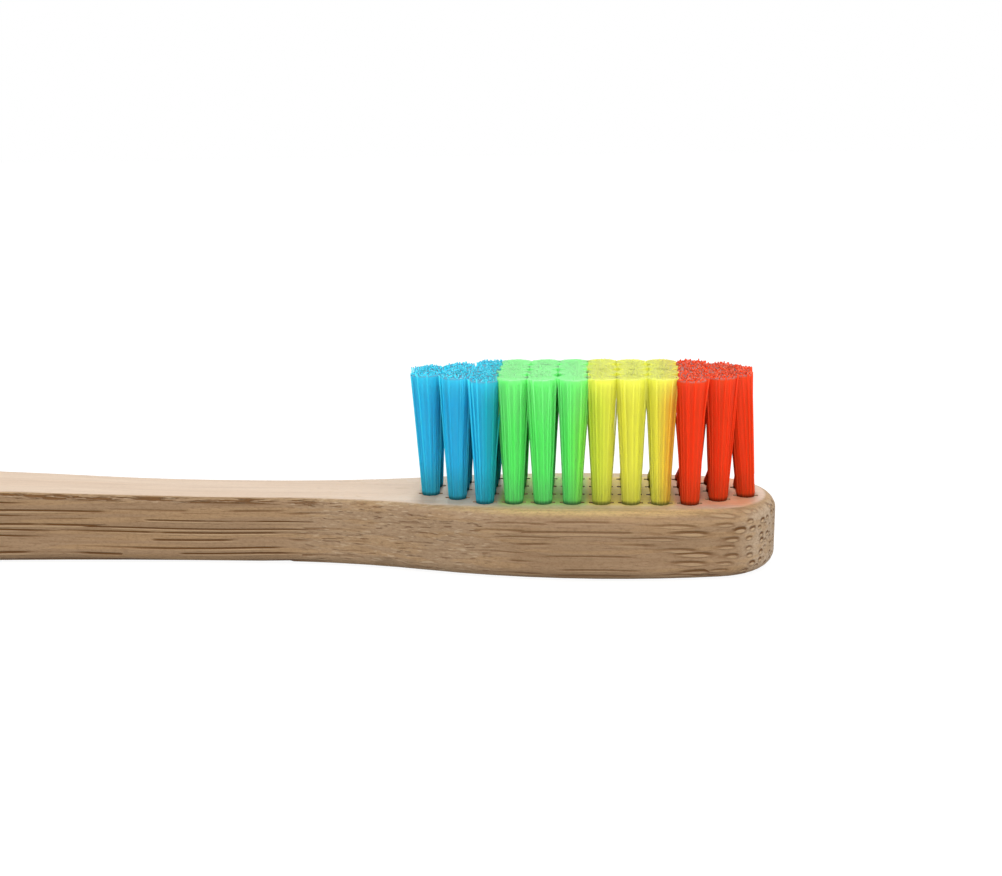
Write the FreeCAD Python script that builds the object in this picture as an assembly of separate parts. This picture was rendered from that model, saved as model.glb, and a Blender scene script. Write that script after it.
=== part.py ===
import FreeCAD, Part
import math
import os

V = FreeCAD.Vector

# Manual toothbrush: a bamboo handle with rows of nylon tufts, each folded over a flat metal anchor.
# Millimetres. X runs along the brush towards its head, Y across it, Z up out of the bristle side.
# The origin lies under the middle of the brush, on the surface that its back rests on.

# Bamboo handle
overall_length = 180.0
head_thickness = 5.9       # of head and neck
grip_rise = 0.6            # the grip is this much thicker, on the bristle side
rise_radius = 430.0        # each of the two arcs that lead up to it
grip_width = 11.5
neck_width = 6.05
neck_length = 5.4          # parallel stretch of the neck
shoulder_radius = 59.0     # each of the two arcs between neck and head
flare_radius = 315.0       # each of the two arcs between neck and grip
head_edge_round = 1.2      # rounding of the bristle-side edge on the head
stem_edge_round = 0.5      # the same on neck and grip
back_edge_round = 1.2      # rounding of the edge all round the back
spare_stock = 2.0          # wood outside the finished shape before each cut

# Head, sized by the wood left round the tuft holes
side_wall = 2.23           # from the outer rows of holes to the side of the head at its widest
end_wall = 1.85            # from the last holes to the end of the head
end_tuck = 0.81            # the end arc is this much tighter than half the head's width
flank_ease = 51.4          # the arcs beside it are this much wider

# Tuft field
tuft_colours = ("blue", "green", "yellow", "red")
columns_per_colour = 3
full_rows = 4              # tufts across the head in a full column
end_rows = 2               # tufts across it in the first and last column
bundle_sides = 10          # flats round a hole and its tuft
hole_diameter = 1.56       # across the corners of the flats
hole_wall = 0.84           # wood between neighbouring holes
hole_depth = 3.9

# Tufts and anchors
trim_height = 10.5         # cut ends of the bristles above the face of the head
tuft_clearance = 0.03      # round the tuft in its hole
tuft_top_gap = 0.1         # between the spread tops of neighbouring tufts
parallel_rise = 1.2        # the bristles stay parallel to this height above the face
fold_height = 0.6          # bristles folded under the anchor
fold_tuck = 0.25           # rounding of the fold at the floor of the hole
anchor_height = 1.6
anchor_thickness = 0.28
anchor_bite = 0.22         # how far each end of the anchor cuts into the wood
anchor_clearance = 0.02

# Places that follow from the sizes above
face_z = head_thickness
floor_z = face_z - hole_depth
trim_z = face_z + trim_height
hole_radius = hole_diameter / 2
pitch = hole_diameter + hole_wall
column_count = columns_per_colour * len(tuft_colours)
field_length = (column_count - 1) * pitch
tip_x = overall_length / 2
tail_x = -overall_length / 2
last_column_x = tip_x - end_wall - hole_radius
first_column_x = last_column_x - field_length
head_half = (full_rows - 1) / 2 * pitch + hole_radius + side_wall
neck_half = neck_width / 2
grip_half = grip_width / 2
end_radius = head_half - end_tuck
flank_radius = head_half + flank_ease
anchor_z = floor_z + fold_height
anchor_top_z = anchor_z + anchor_height


def bend_length(radius, step):
    """Length of two equal tangent arcs that shift a line sideways by the step."""
    return math.sqrt(4 * radius * abs(step) - step * step)


# Where the outline of the handle changes, from the head to the grip
end_centre_x = tip_x - end_radius
flank_reach = math.sqrt((flank_radius - end_radius) ** 2 - (flank_radius - head_half) ** 2)
flank_x = end_centre_x - flank_reach
shoulder_x = flank_x
neck_head_x = shoulder_x - bend_length(shoulder_radius, head_half - neck_half)
neck_grip_x = neck_head_x - neck_length
grip_x = neck_grip_x - bend_length(flare_radius, grip_half - neck_half)
rise_run = bend_length(rise_radius, grip_rise)


def rows_in(column):
    """Number of tufts across the head in one column."""
    from_end = min(column, column_count - 1 - column)
    return min(full_rows, end_rows + from_end)


def tuft_sites():
    """Name and place of every tuft, column by column from the neck to the end of the head."""
    sites = []
    for column in range(column_count):
        colour = tuft_colours[column // columns_per_colour]
        x = first_column_x + column * pitch
        count = rows_in(column)
        for row in range(count):
            y = (row - (count - 1) / 2) * pitch
            name = "tuft_%s_c%02d_r%d" % (colour, column + 1, row + 1)
            sites.append((name, V(x, y, 0)))
    return sites


def circle_point(centre, radius, angle):
    return centre + V(radius * math.cos(angle), radius * math.sin(angle), 0)


def arc(centre, radius, start, end):
    """Arc in the XY plane between two angles."""
    middle = circle_point(centre, radius, (start + end) / 2)
    return Part.Arc(circle_point(centre, radius, start), middle, circle_point(centre, radius, end)).toShape()


def bend(start, end):
    """Two equal arcs from start to end, level at both and tangent halfway."""
    run = end.x - start.x
    step = end.y - start.y
    radius = (run * run + step * step) / (4 * abs(step))
    half_turn = math.asin(run / 2 / radius) / 2
    bulge = V(radius * math.sin(half_turn), math.copysign(radius * (1 - math.cos(half_turn)), step), 0)
    middle = (start + end) / 2
    leave = Part.Arc(start, start + bulge, middle).toShape()
    arrive = Part.Arc(middle, end - bulge, end).toShape()
    return [leave, arrive]


def closed_face(edges):
    return Part.Face(Part.Wire(Part.__sortEdges__(edges)))


def plan_side():
    """One side of the handle seen from above, from the end of the grip to the arc at the tip."""
    grip_end = V(tail_x + grip_half, grip_half, 0)
    grip = V(grip_x, grip_half, 0)
    neck_grip = V(neck_grip_x, neck_half, 0)
    neck_head = V(neck_head_x, neck_half, 0)
    shoulder = V(shoulder_x, head_half, 0)
    flank_centre = V(flank_x, head_half - flank_radius, 0)
    edges = [Part.makeLine(grip_end, grip)]
    edges += bend(grip, neck_grip)
    edges.append(Part.makeLine(neck_grip, neck_head))
    edges += bend(neck_head, shoulder)
    edges.append(arc(flank_centre, flank_radius, math.pi / 2, end_angle()))
    return edges


def end_angle():
    """Direction, from both arc centres, of the point where the flank meets the end arc."""
    return math.atan2(flank_radius - head_half, flank_reach)


def handle_plan():
    """The handle's outline seen from above, as a face."""
    side = plan_side()
    other = [edge.mirror(V(0, 0, 0), V(0, 1, 0)) for edge in side]
    tip = arc(V(end_centre_x, 0, 0), end_radius, end_angle(), -end_angle())
    tail = arc(V(tail_x + grip_half, 0, 0), grip_half, math.pi / 2, 3 * math.pi / 2)
    return closed_face(side + [tip] + other + [tail])


def handle_profile():
    """The handle seen from the side: flat on its back, rising from neck to grip on the bristle side."""
    tail = V(tail_x - spare_stock, 0, 0)
    tip = V(tip_x + spare_stock, 0, 0)
    face_tip = V(tip.x, face_z, 0)
    rise_foot = V(neck_head_x, face_z, 0)
    rise_top = V(neck_head_x - rise_run, face_z + grip_rise, 0)
    face_tail = V(tail.x, rise_top.y, 0)
    edges = [Part.makeLine(tail, tip)]
    edges.append(Part.makeLine(tip, face_tip))
    edges.append(Part.makeLine(face_tip, rise_foot))
    edges += bend(rise_top, rise_foot)
    edges.append(Part.makeLine(rise_top, face_tail))
    edges.append(Part.makeLine(face_tail, tail))
    face = closed_face(edges)
    face.rotate(V(0, 0, 0), V(1, 0, 0), 90)
    return face


def face_round(x):
    """Rounding of the bristle-side edge at one place along the brush."""
    if x >= shoulder_x:
        return head_edge_round
    if x <= neck_head_x:
        return stem_edge_round
    share = (x - neck_head_x) / (shoulder_x - neck_head_x)
    return stem_edge_round + share * (head_edge_round - stem_edge_round)


def edge_rounds(blank):
    """Index and two end radii of every edge to round, in the order of travel round the outline."""
    rounds = []
    for index, edge in enumerate(blank.Edges, 1):
        box = edge.BoundBox
        on_face = box.ZMin > face_z - 1e-4
        on_back = box.ZMax < 1e-4
        if on_back:
            rounds.append((index, back_edge_round, back_edge_round))
        if on_face and box.YMin + box.YMax > -1e-4:
            rounds.append((index, face_round(box.XMin), face_round(box.XMax)))
        if on_face and box.YMin + box.YMax <= -1e-4:
            rounds.append((index, face_round(box.XMax), face_round(box.XMin)))
    return rounds


def rounded_blank():
    """The handle before drilling, its edges rounded more on the head than on neck and grip."""
    half_width = max(head_half, grip_half) + spare_stock
    plan = handle_plan().extrude(V(0, 0, face_z + grip_rise + 2 * spare_stock))
    plan.translate(V(0, 0, -spare_stock))
    profile = handle_profile().extrude(V(0, 2 * half_width, 0))
    profile.translate(V(0, -half_width, 0))
    blank = plan.common(profile).Solids[0]
    document = FreeCAD.newDocument("handle")
    square = document.addObject("Part::Feature", "square")
    square.Shape = blank
    rounded = document.addObject("Part::Fillet", "rounded")
    rounded.Base = square
    rounded.Edges = edge_rounds(blank)
    document.recompute()
    shape = rounded.Shape.copy()
    FreeCAD.closeDocument("handle")
    return shape.Solids[0]


def bundle(rings):
    """Closed solid with flat sides through rings of radius and height, from the bottom up."""
    turn = 2 * math.pi / bundle_sides
    loops = []
    for radius, height in rings:
        centre = V(0, 0, height)
        loops.append([circle_point(centre, radius, (side + 0.5) * turn) for side in range(bundle_sides)])
    faces = [loops[0][::-1], loops[-1]]
    for low, high in zip(loops, loops[1:]):
        for side in range(bundle_sides):
            after = (side + 1) % bundle_sides
            faces.append([low[side], low[after], high[after], high[side]])
    shell = Part.Shell([Part.Face(Part.makePolygon(points + points[:1])) for points in faces])
    return Part.Solid(shell)


def anchor_plate(clearance, top_z):
    """Flat anchor across a hole, lying along the grain, grown by a clearance on every side."""
    length = hole_diameter + 2 * anchor_bite + 2 * clearance
    thick = anchor_thickness + 2 * clearance
    foot_z = anchor_z - clearance
    return Part.makeBox(length, thick, top_z - foot_z, V(-length / 2, -thick / 2, foot_z))


def tuft_hole():
    """Blind hole with the slits that the anchor cuts in its wall on the way down."""
    above_z = face_z + hole_depth
    shaft = bundle([(hole_radius, floor_z), (hole_radius, above_z)])
    return shaft.fuse(anchor_plate(anchor_clearance, above_z))


def tuft():
    """Bristles folded under the anchor, rising past both its sides and spread to the trimmed end."""
    root = hole_radius - tuft_clearance
    top = (pitch - tuft_top_gap) / 2
    foot_z = floor_z + tuft_clearance
    rings = [(root - fold_tuck, foot_z)]
    rings.append((root, foot_z + fold_tuck))
    rings.append((root, face_z + parallel_rise))
    rings.append((top, trim_z))
    slot = anchor_plate(anchor_clearance, anchor_top_z + anchor_clearance)
    return bundle(rings).cut(slot).Solids[0]


def placed(shape, place):
    copy = shape.copy()
    copy.translate(place)
    return copy


def write_parts():
    os.makedirs("parts", exist_ok=True)
    sites = tuft_sites()
    hole = tuft_hole()
    holes = Part.makeCompound([placed(hole, place) for name, place in sites])
    handle = rounded_blank().cut(holes).Solids[0]
    handle.exportStep("parts/handle.step")
    bristles = tuft()
    for name, place in sites:
        placed(bristles, place).exportStep("parts/%s.step" % name)
    plate = anchor_plate(0, anchor_top_z)
    anchors = Part.makeCompound([placed(plate, place) for name, place in sites])
    anchors.exportStep("parts/tuft_anchors.step")


write_parts()
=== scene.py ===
import collections
import math
import random

import bpy
from mathutils import Matrix, Vector


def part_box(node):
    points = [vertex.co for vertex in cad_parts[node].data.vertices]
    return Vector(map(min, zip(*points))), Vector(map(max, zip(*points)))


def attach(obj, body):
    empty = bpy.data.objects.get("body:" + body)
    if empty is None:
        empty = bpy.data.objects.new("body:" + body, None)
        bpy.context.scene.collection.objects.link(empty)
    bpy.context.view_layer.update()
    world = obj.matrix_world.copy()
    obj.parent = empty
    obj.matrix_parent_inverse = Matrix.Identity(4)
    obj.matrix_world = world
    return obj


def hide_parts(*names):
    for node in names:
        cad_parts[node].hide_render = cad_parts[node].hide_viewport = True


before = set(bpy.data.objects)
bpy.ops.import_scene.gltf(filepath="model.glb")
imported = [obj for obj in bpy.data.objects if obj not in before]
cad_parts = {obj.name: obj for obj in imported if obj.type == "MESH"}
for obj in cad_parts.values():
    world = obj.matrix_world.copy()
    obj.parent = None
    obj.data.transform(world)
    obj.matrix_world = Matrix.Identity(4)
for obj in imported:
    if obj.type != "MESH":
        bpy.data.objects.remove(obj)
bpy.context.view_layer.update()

# Sizes, in metres
MM = 0.001
ANCHORS = "tuft_anchors"
TUFT_NODES = sorted(
    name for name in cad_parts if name.startswith("tuft_") and name != ANCHORS)
FOOT_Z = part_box(TUFT_NODES[0])[0].z
TRIM_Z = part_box(TUFT_NODES[0])[1].z
TRIM_HEIGHT = 10.5 * MM
FACE_Z = TRIM_Z - TRIM_HEIGHT
ANCHOR_TOP_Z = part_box(ANCHORS)[1].z
ANCHOR_HALF_THICKNESS = 0.16 * MM
FLOOR_SIZE = 6.0
FLOOR_DROP = 0.02 * MM

COLOURS = ("blue", "green", "yellow", "red")
WHITE = (1, 1, 1, 1)


def deselect_everything():
    if bpy.context.object and bpy.context.object.mode != "OBJECT":
        bpy.ops.object.mode_set(mode="OBJECT")
    bpy.ops.object.select_all(action="DESELECT")


# Material nodes

class Nodes:
    """Node tree of a material or world, with short calls that add a node and set its inputs."""

    def __init__(self, owner):
        self.owner = owner
        self.owner.use_nodes = True
        self.tree = self.owner.node_tree
        self.tree.nodes.clear()

    def add(self, kind, inputs=None, **settings):
        node = self.tree.nodes.new(kind)
        for key, value in settings.items():
            setattr(node, key, value)
        for key, value in (inputs or {}).items():
            self.put(node.inputs[key], value)
        return node

    def put(self, socket, value):
        if isinstance(value, bpy.types.NodeSocket):
            self.tree.links.new(value, socket)
        else:
            socket.default_value = value

    def math(self, operation, first, second=0.0, third=0.0, clamp=False):
        inputs = {0: first, 1: second, 2: third}
        return self.add("ShaderNodeMath", inputs, operation=operation, use_clamp=clamp).outputs[0]

    def times(self, first, second):
        return self.math("MULTIPLY", first, second)

    def most(self, first, second):
        return self.math("MAXIMUM", first, second)

    def line(self, value, slope, start, clamp=False):
        """The start, plus the value times the slope."""
        return self.math("MULTIPLY_ADD", value, slope, start, clamp)

    def ramp(self, value, start, end, low=0.0, high=1.0):
        """Smooth step of a value between two ends."""
        inputs = {"Value": value, "From Min": start, "From Max": end, "To Min": low, "To Max": high}
        node = self.add("ShaderNodeMapRange", inputs, interpolation_type="SMOOTHSTEP", clamp=True)
        return node.outputs["Result"]

    def mix(self, share, first, second):
        """Mix of two tones. Each is a socket, or red, green and blue."""
        inputs = {0: share}
        for key, tone in ((6, first), (7, second)):
            inputs[key] = tone + (1,) if isinstance(tone, tuple) else tone
        return self.add("ShaderNodeMix", inputs, data_type="RGBA").outputs[2]

    def noise(self, vector, scale=1.0, detail=2.0, roughness=0.5):
        inputs = {"Vector": vector, "Scale": scale, "Detail": detail, "Roughness": roughness}
        return self.add("ShaderNodeTexNoise", inputs).outputs["Fac"]

    def point(self):
        """Place on the piece, in millimetres."""
        place = self.add("ShaderNodeTexCoord").outputs["Object"]
        inputs = {0: place, "Scale": 1 / MM}
        return self.add("ShaderNodeVectorMath", inputs, operation="SCALE").outputs[0]

    def split(self, vector):
        return self.add("ShaderNodeSeparateXYZ", {0: vector}).outputs

    def join(self, x, y, z):
        return self.add("ShaderNodeCombineXYZ", {0: x, 1: y, 2: z}).outputs[0]

    def stretch(self, vector, x, y, z):
        inputs = {0: vector, 1: (x, y, z)}
        return self.add("ShaderNodeVectorMath", inputs, operation="MULTIPLY").outputs[0]

    def length(self, vector):
        return self.add("ShaderNodeVectorMath", {0: vector}, operation="LENGTH").outputs["Value"]

    def seen(self):
        """1 for rays that show a colour in the picture, 0 for rays that only carry light."""
        path = self.add("ShaderNodeLightPath").outputs
        direct = self.most(path["Is Camera Ray"], path["Is Glossy Ray"])
        return self.most(direct, path["Is Transmission Ray"])

    def choose(self, share, first, second):
        """Mix of two shaders."""
        inputs = {0: share, 1: first.outputs[0], 2: second.outputs[0]}
        return self.add("ShaderNodeMixShader", inputs)

    def finish(self, shader, output="ShaderNodeOutputMaterial"):
        self.add(output, {"Surface": shader.outputs[0]})
        return self.owner


def material_nodes(name):
    return Nodes(bpy.data.materials.new(name))


def give(piece, material):
    piece.data.materials.clear()
    piece.data.materials.append(material)


# Bamboo. Each ground has a darker and a lighter tone
# Painted light: the face that looks up is far lighter than the sides, with the roundings between.
# This is partly the paler sanded face and partly lighter where light falls from above.
SIDE_TONES = ((0.354, 0.230, 0.133), (0.415, 0.273, 0.161))
ROUND_TONES = ((0.64, 0.44, 0.21), (0.69, 0.475, 0.232))
FACE_TONES = ((0.672, 0.517, 0.39), (0.722, 0.577, 0.45))
# Paler end grain, partly painted light: faces toward the tip lighter where light falls on them
LIT_END_GRAIN_TONE = (0.63, 0.485, 0.345)
SHOULDER_TONE = (0.475, 0.337, 0.217)
WARM_TONE = (0.49, 0.308, 0.155)
MARK_TONES = {
    "grain": (0.24, 0.13, 0.06),
    "speckle": (0.18, 0.105, 0.055),
    "light_fleck": (0.62, 0.47, 0.32),
    # Lower lip of a fibre pit, a painted highlight; the pit, darker fibre with painted shade
    "highlit_lip": (0.60, 0.415, 0.245),
    "shaded_pit": (0.135, 0.055, 0.015),
    "fleck": (0.20, 0.09, 0.04),
    "chip": (0.17, 0.076, 0.025),
}
# Painted light: the colour that the tufts of a band throw on the face among them, and where the
# band starts along the brush
SPILLED_LIGHT_TONES = {
    "blue": (0.60, 0.55, 0.45),
    "green": (0.44, 0.78, 0.12),
    "yellow": (1.0, 0.76, 0.09),
    "red": (0.90, 0.46, 0.24),
}
FIELD_STARTS = {"green": 66.6, "yellow": 73.8, "red": 81.0}
FIELD_BLEND = 0.7

# Where zones of the handle come and go, in millimetres from its middle
SHOULDER_COMES, SHOULDER_GOES = (48.0, 53.0), (69.0, 64.0)
FIELD_COMES, FIELD_GOES = (60.5, 63.5), (88.6, 87.0)
ROUND_COMES, ROUND_GOES = (59.0, 69.0), (81.5, 87.0)
RIM_COMES = (56.0, 66.0)
NECK_GOES = (58.0, 50.0)
BUNDLES_THIN = (58.0, 66.0)

BUNDLE_SPACING = 0.66
BUMP_DEPTH = 0.09 * MM


def wood_zones(n, place):
    """How far a spot belongs to each zone, by its place and the way it faces."""
    x, y = n.split(place)[:2]
    normal = n.split(n.add("ShaderNodeTexCoord").outputs["Normal"])
    to_end, up = normal["X"], normal["Z"]
    from_middle = n.math("ABSOLUTE", y)
    rim = n.times(n.ramp(from_middle, 4.2, 5.6), n.ramp(x, *RIM_COMES))
    edge = n.times(n.ramp(up, 0.02, 0.12), n.ramp(up, 0.96, 0.75))
    tufted = n.times(n.ramp(x, *FIELD_COMES), n.ramp(x, *FIELD_GOES))
    # Reach along the head of the painted light on the roundings
    rounding_lit_reach = n.times(n.ramp(x, *ROUND_COMES, 0.2, 1.0), n.ramp(x, *ROUND_GOES, 1.0, 0.25))
    return {
        "to_tip": n.ramp(to_end, 0.03, 0.13),
        "end_grain": n.ramp(to_end, 0.25, 0.75),
        "rounding": n.ramp(up, 0.50, 0.90),
        "rounding_lit_reach": rounding_lit_reach,
        # Top face: partly sanded paler, partly painted light where light falls from above
        "sanded_lit_top": n.times(n.ramp(up, 0.91, 0.998), n.line(rim, -0.7, 1.0)),
        "shoulder": n.times(n.ramp(x, *SHOULDER_COMES), n.ramp(x, *SHOULDER_GOES)),
        "neck_edge": n.times(edge, n.ramp(x, *NECK_GOES)),
        "field": n.times(n.ramp(from_middle, 5.2, 3.4), tufted),
    }


def fibre_bundles(n, place, zones):
    """Pits and lips where a face cuts the bundles of fibre along the brush: darker fibre with
    painted shade in each pit's upper side, and a painted highlight on its lower lip.
    """
    x, y, z = n.split(place)[:3]
    to_tip, end_grain = zones["to_tip"], zones["end_grain"]

    # Bundles wander a little on their way
    inputs = {"Vector": n.stretch(place, 0.03, 0.12, 0.12), "Scale": 1.0, "Detail": 1.0}
    wander = n.split(n.add("ShaderNodeTexNoise", inputs).outputs["Color"])
    across = n.line(wander[0], 0.7, y)
    upward = n.line(wander[1], 1.6, z)
    inputs = {"Vector": n.join(across, upward, 0.0), "Scale": 1 / BUNDLE_SPACING,
              "Randomness": 0.75}
    cells = n.add("ShaderNodeTexVoronoi", inputs, voronoi_dimensions="2D").outputs
    middle = n.split(cells["Position"])
    chance = n.split(cells["Color"])
    depth = n.line(to_tip, 0.55, 0.40)
    aside = n.times(n.math("SUBTRACT", across, middle[0]), depth)
    above = n.math("SUBTRACT", upward, middle[1])
    size = n.line(to_tip, 0.06, n.line(end_grain, -0.045, 0.135))
    size = n.times(size, n.line(chance[0], 0.6, 0.7))

    def spot(shift, reach):
        """Round spot above or below the middle of a bundle, measured by the bundle's size."""
        high = n.math("SUBTRACT", above, n.times(size, shift))
        far = n.math("DIVIDE", n.length(n.join(aside, high, 0.0)), n.times(size, reach))
        return n.ramp(far, 1.0, 0.5)

    # Painted highlight on the lip below a bundle's middle, painted shade in the pit above it
    highlit_lip = spot(-0.45, 0.95)
    ring = n.times(spot(-0.30, 1.75), n.times(to_tip, 0.4))
    shaded_pit = n.times(n.most(spot(0.25, 1.3), ring), n.math("SUBTRACT", 1.0, highlit_lip))

    # Along the grain a bundle comes and goes, and towards the tip every one shows
    run = n.line(chance[1], 91.0, n.times(x, 0.11))
    presence = n.ramp(n.noise(n.join(run, chance[2], 0.0), detail=1.5), 0.40, 0.47)
    presence = n.times(presence, n.line(zones["shoulder"], -0.75, 1.0))
    presence = n.times(presence, n.ramp(x, *BUNDLES_THIN, 1.0, 0.6))
    presence = n.most(presence, n.times(to_tip, n.line(chance[0], 0.5, 0.5)))
    presence = n.times(presence, n.line(zones["rounding"], -0.75, 1.0))
    presence = n.times(presence, n.line(zones["sanded_lit_top"], -0.9, 1.0))
    return n.times(shaded_pit, presence), n.times(highlit_lip, presence)


def wood_ground(n, place, zones):
    """Tone of sides, roundings and face below the marks. The lighter roundings and face are partly
    painted light from above, and the face among the tufts takes painted light that the tufts throw.
    """
    x = n.split(place)["X"]
    broad = n.ramp(n.noise(n.stretch(place, 0.03, 0.5, 0.5)), 0.3, 0.7)
    side = n.mix(broad, *SIDE_TONES)
    # Paler end grain, partly painted light on the faces toward the tip
    side = n.mix(n.times(zones["end_grain"], 0.8), side, LIT_END_GRAIN_TONE)
    side = n.mix(n.times(zones["shoulder"], 0.5), side, SHOULDER_TONE)
    warm = n.noise(n.stretch(place, 0.06, 0.9, 1.7), detail=1.0)
    side = n.mix(n.ramp(warm, 0.50, 0.62, 0.0, 0.45), side, WARM_TONE)
    # Painted light: on the head, roundings lighter as they turn up towards the face
    rounded = n.times(zones["rounding"], zones["rounding_lit_reach"])
    tone = n.mix(rounded, side, n.mix(broad, *ROUND_TONES))
    # Painted coloured light that the tufts throw on the face among them
    painted_spill = SPILLED_LIGHT_TONES["blue"]
    for colour, start in FIELD_STARTS.items():
        painted_spill = n.mix(n.ramp(x, start, start + FIELD_BLEND), painted_spill, SPILLED_LIGHT_TONES[colour])
    face = n.mix(n.times(zones["field"], 0.85), n.mix(broad, *FACE_TONES), painted_spill)
    # Partly painted light: the face that looks up takes the far lighter face tone
    return n.mix(zones["sanded_lit_top"], tone, face)


def bamboo_material():
    """Wood with fine grain, fibre bundles, flecks at the shoulder and chips on the neck's edge."""
    n = material_nodes("bamboo")
    place = n.point()
    zones = wood_zones(n, place)
    shaded_pit, highlit_lip = fibre_bundles(n, place, zones)
    grain = n.noise(n.stretch(place, 0.12, 5.0, 5.0), detail=3.0, roughness=0.6)
    speckle = n.noise(n.stretch(place, 3.0, 6.0, 6.0), detail=3.0, roughness=0.7)
    fleck = n.ramp(n.noise(n.stretch(place, 0.8, 2.0, 6.0), detail=1.0), 0.36, 0.30)
    fleck = n.times(fleck, n.line(zones["shoulder"], 0.75, 0.25))
    fleck = n.times(fleck, n.line(zones["rounding"], -0.8, 1.0))
    light_fleck = n.ramp(n.noise(n.stretch(place, 1.1, 3.0, 7.0), detail=1.0), 0.60, 0.68)
    light_fleck = n.times(light_fleck, n.most(zones["shoulder"], zones["neck_edge"]))
    chip = n.noise(n.stretch(place, 0.30, 6.0, 6.0), detail=3.0, roughness=0.65)
    chip = n.times(n.ramp(chip, 0.49, 0.55), zones["neck_edge"])

    # Each mark covers the tone below it by its share
    shares = {
        "grain": n.times(n.ramp(grain, 0.62, 0.30), n.line(zones["sanded_lit_top"], -0.12, 0.28)),
        "speckle": n.times(n.ramp(speckle, 0.58, 0.30), n.line(zones["sanded_lit_top"], -0.25, 0.32)),
        "light_fleck": n.times(light_fleck, 0.5),
        "highlit_lip": n.times(highlit_lip, n.line(zones["end_grain"], 0.25, 0.45)),
        "shaded_pit": n.times(shaded_pit, 0.95),
        "fleck": n.times(fleck, 0.55),
        "chip": n.times(chip, 0.90),
    }
    tone = wood_ground(n, place, zones)
    for mark, share in shares.items():
        tone = n.mix(share, tone, MARK_TONES[mark])

    height = n.times(n.most(shaded_pit, n.most(fleck, chip)), -1.0)
    height = n.line(highlit_lip, 0.5, height)
    height = n.line(grain, 0.2, height)
    height = n.line(speckle, 0.25, height)
    bump = n.add("ShaderNodeBump", {"Strength": 0.8, "Distance": BUMP_DEPTH, "Height": height})
    shader = n.add("ShaderNodeBsdfPrincipled", {
        "Base Color": tone,
        "Roughness": n.ramp(grain, 0.2, 0.8, 0.5, 0.68),
        "Normal": bump.outputs[0],
        "Specular IOR Level": 0.08,
    })
    return n.finish(shader)


# Nylon. Filaments and their cut ends each have a deep and a light tone
BRISTLE_TONES = {
    "blue": ((0.07, 0.75, 0.94), (0.17, 0.88, 0.985)),
    "green": ((0.31, 0.96, 0.37), (0.45, 0.99, 0.51)),
    "yellow": ((0.95, 0.945, 0.20), (0.985, 0.98, 0.33)),
    "red": ((0.97, 0.14, 0.025), (0.99, 0.23, 0.06)),
}
TIP_TONES = {
    "blue": ((0.00, 0.05, 0.18), (0.62, 0.93, 0.99)),
    "green": ((0.56, 0.91, 0.59), (0.70, 0.94, 0.72)),
    "yellow": ((0.76, 0.80, 0.26), (0.86, 0.88, 0.40)),
    "red": ((0.16, 0.005, 0.002), (1.0, 0.72, 0.60)),
}
# Painted light: lighter tone towards the trimmed end, where light falls from above, and the height
# above the face where it starts
TOP_LIGHT_TONES = {
    "blue": (8.0, (0.20, 0.91, 0.99)),
    "green": (5.0, (0.58, 0.99, 0.61)),
    "yellow": (8.0, (0.985, 0.985, 0.38)),
    "red": (8.0, (0.99, 0.23, 0.07)),
}
# Where a band of colour ends, and the painted light that the next band throws on it
BAND_ENDS = {
    "blue": (66.97, (0.04, 0.70, 0.68)),
    "green": (74.17, (0.72, 0.97, 0.22)),
    "yellow": (81.37, (0.98, 0.66, 0.10)),
}
# Where a band of colour starts, and the painted light that the band before throws on it
BAND_STARTS = {
    "yellow": (74.17, (0.74, 0.88, 0.14)),
}
END_REACH, START_REACH = 1.9, 2.4
# Painted shade towards the foot of each tuft: how much, and how dark it gets
FOOT_SHADE = {"blue": 0.22, "green": 0.12, "yellow": 0.12, "red": 0.12}
FOOT_DARKNESS = 0.25
LIGHT_PASSED = 0.76
NYLON_IOR = 1.53


def bristle_material(colour):
    """Clear-coloured nylon: light passes from one filament to the next."""
    n = material_nodes("nylon_" + colour)
    own_tone = n.add("ShaderNodeAttribute", attribute_name="tone").outputs["Fac"]
    at_tip = n.add("ShaderNodeAttribute", attribute_name="tip").outputs["Fac"]
    place = n.point()
    parts = n.split(place)
    x, z = parts["X"], parts["Z"]
    face, trim = FACE_Z / MM, TRIM_Z / MM
    deep, light = BRISTLE_TONES[colour]
    streak = n.noise(n.stretch(place, 6.0, 6.0, 0.35))
    tone = n.mix(n.line(own_tone, 0.7, n.times(streak, 0.4), clamp=True), deep, light)
    # Painted coloured light from the neighbouring bands near each band's ends
    if colour in BAND_ENDS:
        end, painted_spill = BAND_ENDS[colour]
        tone = n.mix(n.ramp(x, end - END_REACH, end, 0.0, 0.7), tone, painted_spill)
    if colour in BAND_STARTS:
        start, painted_spill = BAND_STARTS[colour]
        tone = n.mix(n.ramp(x, start + START_REACH, start, 0.0, 0.45), tone, painted_spill)
    # Painted light: paler towards the trimmed end
    top_light_from, top_light = TOP_LIGHT_TONES[colour]
    tone = n.mix(n.ramp(z, face + top_light_from, trim, 0.0, 0.7), tone, top_light)
    tone = n.mix(n.times(at_tip, 0.9), tone, n.mix(own_tone, *TIP_TONES[colour]))
    # Painted shade: darker towards the foot of the tuft, darkest where it meets the face
    dark = tuple(FOOT_DARKNESS * channel for channel in deep)
    tone = n.mix(n.ramp(z, face + 3.5, face, 0.0, FOOT_SHADE[colour]), tone, dark)
    tone = n.mix(n.ramp(z, face + 0.40, face, 0.0, 0.75), tone, dark)
    gloss = n.add("ShaderNodeBsdfPrincipled", {
        "Base Color": tone,
        "Roughness": n.ramp(streak, 0.2, 0.8, 0.28, 0.42),
        "Specular IOR Level": 0.3,
        "IOR": NYLON_IOR,
    })
    through = n.add("ShaderNodeBsdfTranslucent", {"Color": tone})
    return n.finish(n.choose(LIGHT_PASSED, gloss, through))


# Brass and paper

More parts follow.
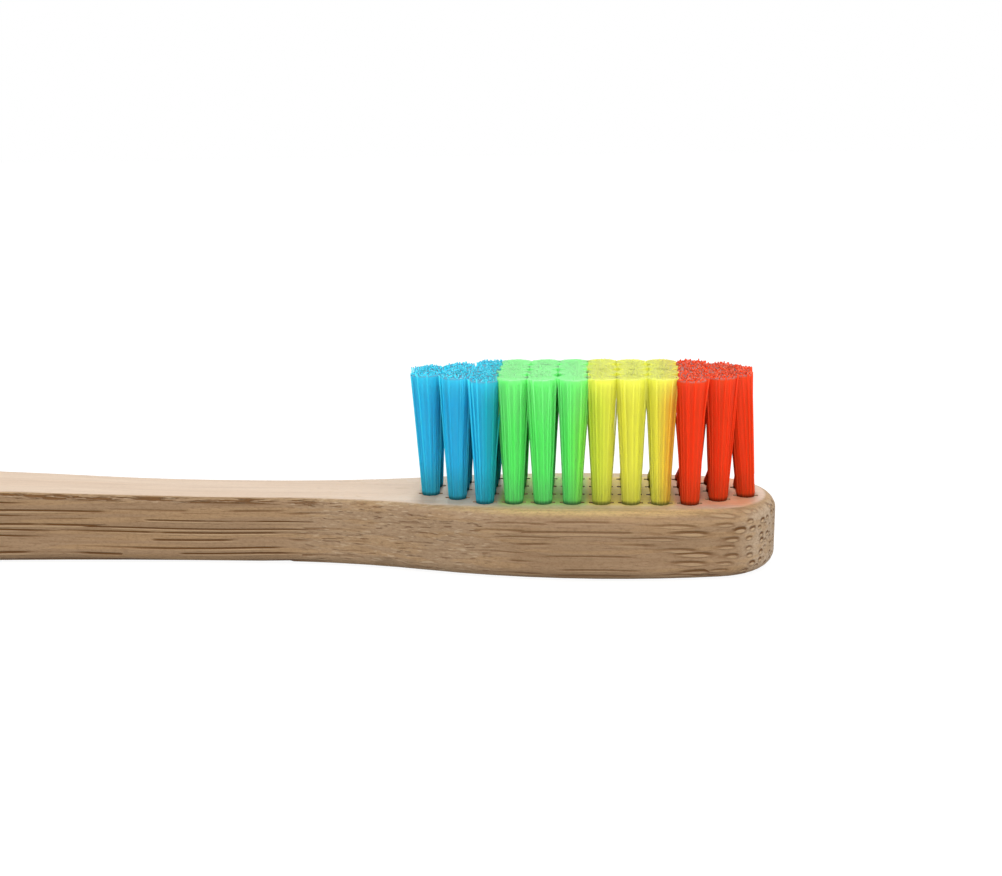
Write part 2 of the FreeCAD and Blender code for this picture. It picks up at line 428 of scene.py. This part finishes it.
def anchor_material():
    """Drawn brass wire."""
    n = material_nodes("anchor_brass")
    drawn = n.noise(n.stretch(n.point(), 0.6, 12.0, 12.0), detail=3.0)
    shader = n.add("ShaderNodeBsdfPrincipled", {
        "Base Color": n.mix(n.ramp(drawn, 0.3, 0.7), (0.62, 0.45, 0.18), (0.80, 0.62, 0.30)),
        "Roughness": n.ramp(drawn, 0.2, 0.8, 0.25, 0.4),
        "Metallic": 1.0,
    })
    return n.finish(shader)


def floor_material():
    """Grey paper for the light, shown as white with the brush's shadow kept."""
    n = material_nodes("floor_paper")
    fibre = n.noise(n.point(), scale=0.8)
    paper = n.mix(fibre, (0.26, 0.26, 0.26), (0.28, 0.28, 0.28))
    plain = n.add("ShaderNodeBsdfDiffuse", {"Color": paper})
    glow = n.ramp(n.length(n.point()), 120.0, 260.0, 0.90, 1.0)
    white = n.add("ShaderNodeEmission", {"Color": WHITE, "Strength": glow})
    shade = n.add("ShaderNodeBsdfDiffuse", {"Color": (0.2, 0.2, 0.2, 1)})
    lit = n.add("ShaderNodeAddShader", {0: white.outputs[0], 1: shade.outputs[0]})
    return n.finish(n.choose(n.seen(), plain, lit))


# Bristles. Each tuft is a bundle of filaments, with a core that fills the gaps between them
FILAMENTS_PER_TUFT = 124
FILAMENT_SIDES = 5
FILAMENT_RADIUS = 0.062 * MM
TIP_CHAMFER = 0.05 * MM
TIP_SHARE = 0.62
ROOT_RADIUS = 0.74 * MM
ROOT_SWELL = 0.055 * MM
SWELL_RISE = 0.025
TOP_RADIUS = 1.35 * MM
END_TOP_RADIUS = 1.15 * MM
SPREAD_CURVE = 1.1
CORE_FLUTES = 26
FLUTE_SHARE = 0.94
CORE_SWELL = 0.05
CORE_DROP = 0.025 * MM
CORE_END = 0.5 * MM
CORE_RAGGED_SHARE = 0.5
CORE_TIP_MARGIN = 0.01 * MM
CORE_TONE = 0.6
SMOOTH_ANGLE = math.radians(50)

# Rings of a filament as shares of its free height, rings of the core in millimetres above the face
FILAMENT_RINGS = (0.025, 0.12, 0.40, 0.70)
CORE_RINGS = (-1.0, 0.0, 0.25, 1.3, 4.0, 7.0)
CORE_TOP_RING = 0.15 * MM

# How bristles stray, bow and stand off, and how tufts lean, in millimetres
STRAY = (0.06, 0.05)
BOW = 0.04
LOOSE_REACH = 0.9
STAND_OFF = (0.10, 0.26)
STAND_OFF_CURVE = 1.3
TUFT_LEAN = (0.09, 0.06)
COLUMN_LEAN = {"c01": -0.12, "c12": -0.80}
LAST_COLUMN = "c12"

# Columns right of the middle move over as they rise, so that back rows hide behind the first
TUCK = 9.0
TUCK_FROM_X = 0.0743
TUCK_RISE = 0.12

# How ragged the cut ends of a colour are, and the share of outer bristles that stand off
TUFT_ENDS = {
    "blue": (0.30 * MM, 0.20),
    "green": (0.03 * MM, 0.08),
    "yellow": (0.03 * MM, 0.08),
    "red": (0.30 * MM, 0.20),
}
SEED = 7

Tuft = collections.namedtuple("Tuft", "centre top_radius lean tuck ragged loose_share")


def add_ring(name, sides, radius, height):
    """A filled ring, the foot of a filament or of the core."""
    deselect_everything()
    bpy.ops.mesh.primitive_circle_add(
        vertices=sides, radius=radius, fill_type="NGON", location=(0, 0, height))
    piece = bpy.context.object
    piece.name = name
    bpy.ops.object.transform_apply(location=True, rotation=True, scale=True)
    return piece


def pull_up(heights):
    """Extrudes the ring in edit mode through the heights. The last ring stays selected."""
    bpy.ops.mesh.select_all(action="SELECT")
    for low, high in zip(heights, heights[1:]):
        bpy.ops.mesh.extrude_region_move(TRANSFORM_OT_translate={"value": (0, 0, high - low)})


def close_piece():
    """Turns the faces outward, leaves edit mode and smooths the sides."""
    bpy.ops.mesh.select_all(action="SELECT")
    bpy.ops.mesh.normals_make_consistent(inside=False)
    bpy.ops.object.mode_set(mode="OBJECT")
    bpy.ops.object.shade_smooth_by_angle(angle=SMOOTH_ANGLE)


def add_marks(piece, tone, tip_above):
    """Attributes for the material: the piece's own tone, and 1 on its cut end."""
    points = piece.data.vertices
    tones = piece.data.attributes.new("tone", "FLOAT", "POINT")
    tones.data.foreach_set("value", [tone] * len(points))
    tips = piece.data.attributes.new("tip", "FLOAT", "POINT")
    tips.data.foreach_set("value", [1.0 if p.co.z > tip_above else 0.0 for p in points])


def model_filament():
    """One straight filament with a chamfered end, standing on the axis."""
    rise = TRIM_Z - FACE_Z
    rings = [FACE_Z + share * rise for share in FILAMENT_RINGS]
    heights = [FOOT_Z, ANCHOR_TOP_Z, FACE_Z] + rings + [TRIM_Z - TIP_CHAMFER, TRIM_Z]
    filament = add_ring("filament", FILAMENT_SIDES, FILAMENT_RADIUS, FOOT_Z)
    bpy.ops.object.mode_set(mode="EDIT")
    pull_up(heights)
    bpy.ops.transform.resize(value=(TIP_SHARE, TIP_SHARE, 1.0), center_override=(0, 0, TRIM_Z))
    close_piece()
    add_marks(filament, 0.0, TRIM_Z - 0.5 * TIP_CHAMFER)
    return filament


def model_core():
    """The fluted core, with a radius of 1. It ends a little below the trimmed ends."""
    top = TRIM_Z - CORE_DROP
    heights = [FACE_Z + height * MM for height in CORE_RINGS] + [top - CORE_TOP_RING, top]
    core = add_ring("core", 2 * CORE_FLUTES, 1.0, heights[0])
    for vertex in core.data.vertices:
        vertex.select = vertex.index % 2 == 0
    bpy.ops.object.mode_set(mode="EDIT")
    bpy.ops.transform.resize(
        value=(FLUTE_SHARE, FLUTE_SHARE, 1.0), center_override=(0, 0, heights[0]))
    pull_up(heights)
    close_piece()
    add_marks(core, CORE_TONE, top - CORE_TIP_MARGIN)
    return core


def spots_in_tuft(count):
    """Evenly filled round bundle, as places in a disc of radius 1."""
    turn = math.pi * (3 - math.sqrt(5))
    return [(math.sqrt((i + 0.5) / count), i * turn) for i in range(count)]


def smooth(value):
    value = min(max(value, 0.0), 1.0)
    return value * value * (3 - 2 * value)


def rise_at(z):
    """Share of the tuft's free height that lies below z."""
    return max(0.0, (z - FACE_Z) / (TRIM_Z - FACE_Z))


def spread_at(z, top_radius):
    """Radius of a tuft at a height, to the axes of its outer filaments."""
    rise = rise_at(z)
    inner = ROOT_RADIUS - FILAMENT_RADIUS
    swell = ROOT_SWELL * smooth(rise / SWELL_RISE)
    grown = top_radius - FILAMENT_RADIUS - inner - swell
    return inner + swell + grown * rise ** SPREAD_CURVE


def lean_at(rise, tuft):
    """How far a tuft has moved over at a share of its height."""
    return tuft.lean * rise + Vector((tuft.tuck, 0)) * smooth(rise / TUCK_RISE)


def lay_core(piece, tuft):
    """Gives the core the tuft's radius at each height, and the tuft's lean."""
    for vertex in piece.data.vertices:
        rise = rise_at(vertex.co.z)
        reach = (1 + CORE_SWELL * rise) * spread_at(vertex.co.z, tuft.top_radius)
        drift = lean_at(rise, tuft)
        vertex.co.x = tuft.centre.x + vertex.co.x * reach + drift.x
        vertex.co.y = tuft.centre.y + vertex.co.y * reach + drift.y
        if vertex.co.z > TRIM_Z - CORE_END:
            vertex.co.z -= CORE_RAGGED_SHARE * tuft.ragged


def lay_filament(piece, tuft, spot, dice):
    """Moves a straight filament into its place in the tuft. A few of the outer ones stand off."""
    reach, angle = spot
    outward = Vector((math.cos(angle), math.sin(angle)))
    inner = ROOT_RADIUS - FILAMENT_RADIUS
    stray = Vector((dice.gauss(0, STRAY[0]), dice.gauss(0, STRAY[1]))) * MM
    bow = Vector((dice.gauss(0, BOW), dice.gauss(0, BOW))) * MM
    cut = dice.random() ** 2 * tuft.ragged
    loose = reach > LOOSE_REACH and dice.random() < tuft.loose_share
    stand_off = dice.uniform(*STAND_OFF) * MM if loose else 0.0
    side = 1 if math.sin(angle) >= 0 else -1
    clear = side * (ANCHOR_HALF_THICKNESS + FILAMENT_RADIUS)
    length = TRIM_Z - cut - FOOT_Z
    for vertex in piece.data.vertices:
        z = FOOT_Z + (vertex.co.z - FOOT_Z) * length / (TRIM_Z - FOOT_Z)
        rise = rise_at(z)
        far = reach * spread_at(z, tuft.top_radius) + stand_off * rise ** STAND_OFF_CURVE
        out = outward * far
        # Below the face the tuft is parted by its anchor
        parted = 1 - smooth((z - ANCHOR_TOP_Z) / (FACE_Z - ANCHOR_TOP_Z))
        squeezed = clear + out.y * (inner - abs(clear)) / inner
        out.y += (squeezed - out.y) * parted
        drift = stray * rise + bow * math.sin(math.pi * rise) + lean_at(rise, tuft)
        vertex.co.x += tuft.centre.x + out.x + drift.x
        vertex.co.y += tuft.centre.y + out.y + drift.y
        vertex.co.z = z


def plan_tuft(node, dice):
    """How a tuft stands, from its CAD solid and its colour, with a little chance in its lean."""
    colour, column = node.split("_")[1:3]
    low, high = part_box(node)
    centre = (low + high) / 2
    first_row = node[:-1] + "1"
    lean_x = COLUMN_LEAN.get(column, 0.0) * MM + dice.gauss(0, TUFT_LEAN[0]) * MM
    lean_y = dice.gauss(0, TUFT_LEAN[1]) * MM
    ragged, loose_share = TUFT_ENDS[colour]
    return Tuft(
        centre=centre,
        top_radius=END_TOP_RADIUS if column == LAST_COLUMN else TOP_RADIUS,
        lean=Vector((lean_x, lean_y)),
        tuck=TUCK * max(0.0, centre.x - TUCK_FROM_X) * (low.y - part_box(first_row)[0].y),
        ragged=ragged,
        loose_share=loose_share,
    )


def copy_of(piece):
    copy = piece.copy()
    copy.data = piece.data.copy()
    bpy.context.scene.collection.objects.link(copy)
    return copy


def model_tuft(node, filament, core, dice, material):
    """Bundle of filaments in the place of one CAD tuft."""
    colour = node.split("_")[1]
    tuft = plan_tuft(node, dice)
    copies = []
    for spot in spots_in_tuft(FILAMENTS_PER_TUFT):
        copy = copy_of(filament)
        lay_filament(copy, tuft, spot, dice)
        tones = [dice.random()] * len(copy.data.vertices)
        copy.data.attributes["tone"].data.foreach_set("value", tones)
        copies.append(copy)
    inside = copy_of(core)
    lay_core(inside, tuft)
    copies.append(inside)
    deselect_everything()
    for copy in copies:
        copy.select_set(True)
    bpy.context.view_layer.objects.active = copies[0]
    bpy.ops.object.join()
    piece = bpy.context.object
    piece.name = node.replace("tuft_", "bristles_")
    piece.data.name = piece.name
    give(piece, material)
    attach(piece, "root")
    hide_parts(node)


def make_bristles():
    nylon = {colour: bristle_material(colour) for colour in COLOURS}
    filament = model_filament()
    core = model_core()
    dice = random.Random(SEED)
    for node in TUFT_NODES:
        model_tuft(node, filament, core, dice, nylon[node.split("_")[1]])
    bpy.data.objects.remove(filament)
    bpy.data.objects.remove(core)


# Floor and light. Each lamp has a place, a target, a size and a power
HANDLE_TARGET = (0.03, 0.0, 0.008)
HEAD_TARGET = (0.075, 0.0, 0.008)
LAMPS = {
    "sky_panel": ((0.03, -0.02, 0.60), HANDLE_TARGET, 0.7, 1.25),
    "back_panel": ((0.076, 0.57, 0.41), HEAD_TARGET, 0.22, 3.0),
    "front_panel": ((0.08, -0.70, 0.20), HANDLE_TARGET, 0.6, 3.75),
    "tip_panel": ((0.60, -0.28, 0.22), HANDLE_TARGET, 0.5, 1.0),
}
SOFT_LIGHT = 0.30


def make_floor():
    deselect_everything()
    bpy.ops.mesh.primitive_plane_add(size=FLOOR_SIZE, location=(0, 0, -FLOOR_DROP))
    floor = bpy.context.object
    floor.name = "floor"
    give(floor, floor_material())


def area_lamp(name, place, target, size, power):
    lamp = bpy.data.lights.new(name, "AREA")
    lamp.shape = "DISK"
    lamp.size = size
    lamp.energy = power
    holder = bpy.data.objects.new(name, lamp)
    bpy.context.scene.collection.objects.link(holder)
    holder.location = place
    ahead = Vector(target) - Vector(place)
    holder.rotation_euler = ahead.to_track_quat("-Z", "Y").to_euler()
    holder.visible_camera = False


def make_light():
    """Soft light all round on a white ground, and the lamps."""
    n = Nodes(bpy.data.worlds.new("studio"))
    soft = n.add("ShaderNodeBackground", {"Color": WHITE, "Strength": SOFT_LIGHT})
    white = n.add("ShaderNodeBackground", {"Color": WHITE, "Strength": 1.0})
    shown = n.choose(n.seen(), soft, white)
    bpy.context.scene.world = n.finish(shown, "ShaderNodeOutputWorld")
    for name, settings in LAMPS.items():
        area_lamp(name, *settings)


# Camera, fitted to the photograph
CAMERA_PLACE = (0.074318, -0.100, 0.034775)
CAMERA_YAW = math.radians(-4.232)
CAMERA_PITCH = math.radians(13.628)
CAMERA_ROLL = math.radians(0.845)
FOCAL_PIXELS = 1218.6
IMAGE_WIDTH = 1002
SENSOR_WIDTH = 36.0
CLIP_START, CLIP_END = 0.005, 20.0


def make_camera():
    level, sink = math.cos(CAMERA_PITCH), math.sin(CAMERA_PITCH)
    ahead = Vector((math.sin(CAMERA_YAW) * level, math.cos(CAMERA_YAW) * level, -sink))
    right = Vector((math.cos(CAMERA_YAW), -math.sin(CAMERA_YAW), 0))
    down = ahead.cross(right)
    right, down = (math.cos(CAMERA_ROLL) * right + math.sin(CAMERA_ROLL) * down,
                   math.cos(CAMERA_ROLL) * down - math.sin(CAMERA_ROLL) * right)
    data = bpy.data.cameras.new("camera")
    data.sensor_width = SENSOR_WIDTH
    data.lens = FOCAL_PIXELS * SENSOR_WIDTH / IMAGE_WIDTH
    data.clip_start = CLIP_START
    data.clip_end = CLIP_END
    camera = bpy.data.objects.new("camera", data)
    bpy.context.scene.collection.objects.link(camera)
    turn = Matrix((right, -down, -ahead)).transposed().to_4x4()
    camera.matrix_world = Matrix.Translation(CAMERA_PLACE) @ turn
    bpy.context.scene.camera = camera


bpy.context.scene.view_settings.view_transform = "Standard"
deselect_everything()
give(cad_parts["handle"], bamboo_material())
give(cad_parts[ANCHORS], anchor_material())
make_bristles()
make_floor()
make_light()
make_camera()
